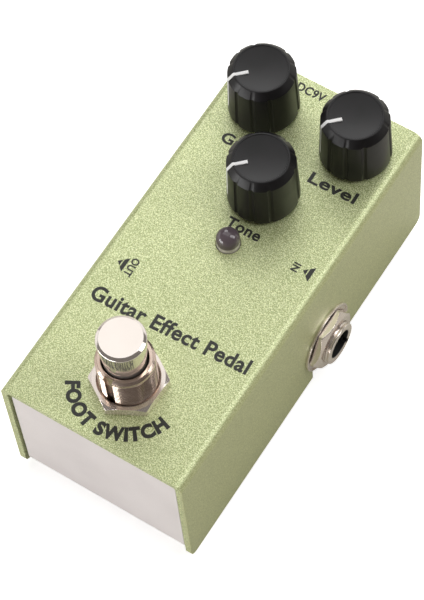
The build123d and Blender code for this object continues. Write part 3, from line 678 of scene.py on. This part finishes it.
def nutShape(flats, bore, low, high, relief, turn, countersink):
    # the radius is the smaller of the hexagon's, half the flats over the cosine of the angle away from the
    # nearest flat, and that of the cone that turns the corners down
    corner, foot = flats / 2 / math.cos(math.pi / 6), nut["foot"]
    slope = math.tan(math.radians(nut["slope"]))
    heights = np.linspace(high - relief * slope * 1.02, high, nut["rows"])
    sides = np.linspace(low + foot, heights[0] - nut["seam"], nut["sideRows"])
    line = np.vstack((
        [(bore, low), (corner - foot, low)],
        np.column_stack((np.full(nut["sideRows"], corner), sides)),
        np.column_stack((np.full(nut["rows"], corner), heights)),
        [(bore + countersink, high), (bore, high - countersink)],
    ))

    def shape(r, height, angle):
        away = (angle - math.radians(turn)) % (math.pi / 3) - math.pi / 6
        hexagon = softMin(flats / 2 / np.cos(away), corner - foot, nut["cornerBlend"])
        cone = corner - relief + (high - height) / slope
        outer = np.minimum(softMin(hexagon, cone, nut["blend"]), corner - foot)
        rim = np.where(height < low + foot / 2, hexagon - foot, outer)
        return np.where(r > corner - 2 * foot, rim, r)

    return turned(line, around(nut["columns"]), shape)


switchX, switchY, _ = middle("switch_cap")
capLow, capHigh = (corner.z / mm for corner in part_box("switch_cap"))
collarLow, collarHigh = (corner.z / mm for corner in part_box("switch_bushing"))
nutLow, nutHigh = (corner.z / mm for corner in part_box("switch_nut"))
cap = placed(capShape(footswitch, capLow, collarHigh, capHigh), switchX, switchY)
shaped("switchCap", "switch_cap", cap)
brownChrome = ((0.56, 0.43, 0.35), (0.70, 0.57, 0.49), 0.88, (0.16, 0.24), 300, 0.001)  # in plain's order
collar = placed(collarShape(footswitch, collarLow, collarHigh), switchX, switchY)
shaped("switchCollar", "switch_bushing", collar, sharp=34, finish=simpleFinish("collarFinish", *brownChrome))
outerNut = nutShape(
    footswitch["nutFlats"], footswitch["nutBore"], nutLow, nutHigh, footswitch["nutRelief"],
    footswitch["nutTurn"], footswitch["nutCountersink"],
)
shaped("switchNut", "switch_nut", placed(outerNut, switchX, switchY), sharp=24)
spring = dict(meanRadius=3.3, wire=0.6, turns=5, travel=3.0, rows=241, columns=12)


def springShape(size, low, high):
    # a circle of the wire's radius carried up a helix, with its two ends closed to points
    share = np.concatenate(([0], np.linspace(0, 1, size["rows"]), [1]))[:, None]
    wire = np.full((len(share), 1), size["wire"] / 2)
    wire[[0, -1]] = 0
    turn, bend = 2 * math.pi * size["turns"] * share, around(size["columns"])[None, :]
    radius = size["meanRadius"] + wire * np.cos(bend)
    height = low + size["wire"] / 2 + (high - low - size["wire"]) * share + wire * np.sin(bend)
    points = np.stack((radius * np.cos(turn), radius * np.sin(turn), height), -1).reshape(-1, 3)
    return points, gridFaces(len(share), bend.shape[1])


springLow, springHigh = (corner.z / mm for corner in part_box("switch_spring"))
coilShape = placed(springShape(spring, springLow, springHigh), switchX, switchY)
coil = shaped("switchSpring", "switch_spring", coilShape, sharp=60)
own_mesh(coil)
print("footswitch")

# jacks

jack = dict(  # lengths along the jack's axis are from the pedal's middle
    height=11.6, start=15.5, reach=24.6, bore=3.2, outside=4.68, nose=0.3, columns=240,
    pitch=0.6, threadDepth=0.26, plainTop=0.35, fadeTop=0.2,
    notchAngle=-45.0, notchWidth=0.9, notchReach=4.12, notchDepth=1.1,
    washerStart=21.0, washerHeight=0.6, washerRadius=7.9, washerRim=7.55, washerDish=0.28, washerFit=0.05,
    washerColumns=160, nutFlats=12.7, nutHeight=1.8, nutRelief=1.4, nutFit=0.02, nutCountersink=0.25,
)
jackPlaces = [
    (side, axis, middle(side + "_jack_bushing")[1]) for side, axis in (("input", "x"), ("output", "-x"))
]


def sleeveShape(size):
    # a threaded tube, with a small notch that lowers the end ring over a narrow angle
    end, outside, notch = size["reach"], size["outside"], size["notchReach"]
    threadTop, threadLow = end - size["plainTop"], size["washerStart"]
    line = np.vstack((
        outline((
            (size["bore"], size["start"], 0), (size["bore"], end, 0.3), (notch - 0.03, end, 0),
            (notch + 0.03, end, 0), (outside, end, size["nose"]), (outside, threadTop + 0.02, 0),
        )),
        threadRows(size, outside, threadLow, threadTop),
        [(outside, size["start"])],
    ))

    def shape(r, height, angle):
        return r - threadCut(size, height, angle, threadLow, threadTop) * (r > outside - 0.01)

    points, faces = turned(line, around(size["columns"]), shape)
    away = np.arctan2(points[:, 1], points[:, 0]) - math.radians(size["notchAngle"])
    radius = np.hypot(points[:, 0], points[:, 1])
    notched = (np.abs(radius * np.sin(away)) < size["notchWidth"] / 2) & (np.cos(away) > 0) & (radius < notch)
    points[:, 2] = np.where(notched, np.minimum(points[:, 2], end - size["notchDepth"]), points[:, 2])
    return points, faces


def washerShape(size):  # a flat ring whose middle is dished below its rim
    low, high = size["washerStart"], size["washerStart"] + size["washerHeight"]
    hole, dish = size["outside"] + size["washerFit"], high - size["washerDish"]
    line = outline((
        (hole, low, 0), (size["washerRadius"], low, 0.1), (size["washerRadius"], high, 0.12),
        (size["washerRim"], high, 0.1), (size["washerRim"] - 0.2, dish, 0.05), (hole, dish, 0),
    ))
    return turned(line, around(size["washerColumns"]))


nutStart = jack["washerStart"] + jack["washerHeight"]
jackNut = nutShape(
    jack["nutFlats"], jack["outside"] + jack["nutFit"], nutStart, nutStart + jack["nutHeight"],
    jack["nutRelief"], 0.0, jack["nutCountersink"],
)
washer = washerShape(jack)
for side, axis, y in jackPlaces:
    metal = sleeveMetalShadedBore(side + "SleeveMetalShadedBore", y, jack)
    sleeve = placed(sleeveShape(jack), 0, y, jack["height"], axis)
    shaped(side + "JackSleeve", side + "_jack_bushing", sleeve, sharp=34, finish=metal)
washers = joined([placed(washer, 0, y, jack["height"], axis) for _, axis, y in jackPlaces])
nuts = joined([placed(jackNut, 0, y, jack["height"], axis) for _, axis, y in jackPlaces])
shaped("jackWashers", "jack_washers", washers)
shaped("jackNuts", "jack_nuts", nuts, sharp=24)
print("jacks")

# lamp and inlet

lamp = dict(radius=2.45, flange=2.9, flangeHeight=1.0, columns=96)
inlet = dict(edge=0.12)


def lampShape(size, low, high):  # a quarter circle of the radius on a plain stem with a flange
    centre = high - size["radius"]
    bend = np.linspace(math.pi / 2, 0, 24)
    dome = np.column_stack((size["radius"] * np.cos(bend), centre + size["radius"] * np.sin(bend)))
    foot = low + size["flangeHeight"]
    rest = outline((
        (size["radius"], centre - 0.1, 0), (size["radius"], foot, 0.15), (size["flange"], foot, 0.15),
        (size["flange"], low, 0.15), (0, low, 0),
    ))
    return turned(np.vstack((dome, rest)), around(size["columns"]), closed=False)


lampX, lampY, _ = middle("led_lens")
lampLow, lampHigh = (corner.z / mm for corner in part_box("led_lens"))
shaped("lampLens", "led_lens", placed(lampShape(lamp, lampLow, lampHigh), lampX, lampY), sharp=40)
finished("inletBody", "dc_jack_body", inlet["edge"])
print("lamp and inlet")

# lettering

lettering = dict(
    thickness=0.03, sunk=0.02, bold=0.028, spacing=1.06, capital=0.7,  # capital: a capital's height at size 1
)
words = (  # name, words, start of the baseline, its end, height of the capitals
    ("title", "Guitar Effect Pedal", (-17.0, -20.0), (18.6, -18.55), 3.2),
    ("levelWord", "Level", (6.3, 24.4), (17.1, 24.6), 2.5),
    ("toneWord", "Tone", (-2.6, 7.4), (5.1, 7.5), 2.4),
    ("gainWord", "Gain", (-14.0, 23.6), (-6.3, 23.8), 2.4),
    ("voltageWord", "DC9V", (-7.1, 41.9), (-0.6, 41.9), 1.9),
    ("outWord", "OUT", (-14.1, -8.0), (-14.1, -12.3), 1.6),
    ("inWord", "IN", (13.9, 7.5), (13.9, 5.5), 1.5),
)


def flatWord(text, bold):  # words lying flat, with their left end and baseline at the origin
    curve = bpy.data.curves.new(text, "FONT")
    curve.body, curve.size, curve.offset, curve.extrude = text, 1.0, bold, 0.5
    curve.resolution_u, curve.space_character = 5, lettering["spacing"]
    holder = bpy.data.objects.new(text, curve)
    bpy.context.scene.collection.objects.link(holder)
    bpy.context.view_layer.update()
    mesh = bpy.data.meshes.new_from_object(holder.evaluated_get(bpy.context.evaluated_depsgraph_get()))
    bpy.data.objects.remove(holder)
    points = np.zeros(len(mesh.vertices) * 3)
    mesh.vertices.foreach_get("co", points)
    points = points.reshape(-1, 3)
    points[:, 0] -= points[:, 0].min()
    return mesh, points


def inked(name, mesh, points):  # the placed words as a thin layer of black ink on the cover
    mesh.vertices.foreach_set("co", (points * mm).ravel())
    work = bmesh.new()
    work.from_mesh(mesh)
    bmesh.ops.remove_doubles(work, verts=work.verts, dist=1e-6)
    work.to_mesh(mesh)
    work.free()
    mesh.name = name
    mesh.update()
    return dressed(name, mesh, finishes["ink"], "case")


def inkHeight(z):
    return coverTop - lettering["sunk"] + (z + 0.5) * (lettering["sunk"] + lettering["thickness"])


def straightWord(name, text, start, end, height):
    mesh, points = flatWord(text, lettering["bold"])
    start, along = np.array(start, float), np.subtract(end, start)
    length = np.linalg.norm(along)
    along = along / length
    across = np.array((-along[1], along[0]))
    x = points[:, 0] / points[:, 0].max() * length
    y = points[:, 1] * height / lettering["capital"]
    flat = start + x[:, None] * along + y[:, None] * across
    return inked(name, mesh, np.column_stack((flat, inkHeight(points[:, 2]))))


arc = dict(text="FOOT SWITCH", base=12.4, height=2.7, start=-151.0, end=-18.0, bold=0.055)
arrow = dict(half=1.75, split=0.42, gap=0.25)  # split: the share of the length at which its thin gap starts


def archedWord(name, size):
    # each point's distance along the baseline becomes an angle about the switch, and its height is taken off
    # the radius
    mesh, points = flatWord(size["text"], size["bold"])
    angle = np.radians(size["start"] + points[:, 0] / points[:, 0].max() * (size["end"] - size["start"]))
    radius = size["base"] - points[:, 1] * size["height"] / lettering["capital"]
    flat = np.column_stack((switchX + radius * np.cos(angle), switchY + radius * np.sin(angle)))
    return inked(name, mesh, np.column_stack((flat, inkHeight(points[:, 2]))))


def arrowMark(name, tip, length, size):
    # a flat triangle pointing along -x, with a half width that grows evenly from the tip, cut by a thin gap
    split = length * size["split"]
    ends = np.array(((0, split), (split + size["gap"], length)))
    away = ends[:, None, [0, 1, 1, 0]] + np.zeros((1, 2, 1))  # by part, lower or upper face, and corner
    across = away * size["half"] / length * (-1, -1, 1, 1)
    points = np.stack((tip[0] + away, tip[1] + across, [[[-0.5], [0.5]]] + 0 * away), -1).reshape(-1, 3)
    box = np.array(((3, 2, 1, 0), (4, 5, 6, 7), (0, 1, 5, 4), (1, 2, 6, 5), (2, 3, 7, 6), (3, 0, 4, 7)))
    mesh = bpy.data.meshes.new(name)
    mesh.from_pydata(points.tolist(), [], np.vstack((box, box + len(points) // 2)).tolist())
    return inked(name, mesh, np.column_stack((points[:, :2], inkHeight(points[:, 2]))))


for entry in words:
    straightWord(*entry)
archedWord("switchWord", arc)
arrowMark("outArrow", (-16.5, -10.3), 1.9, arrow)
arrowMark("inArrow", (16.25, 6.66), 2.05, arrow)
print("lettering")
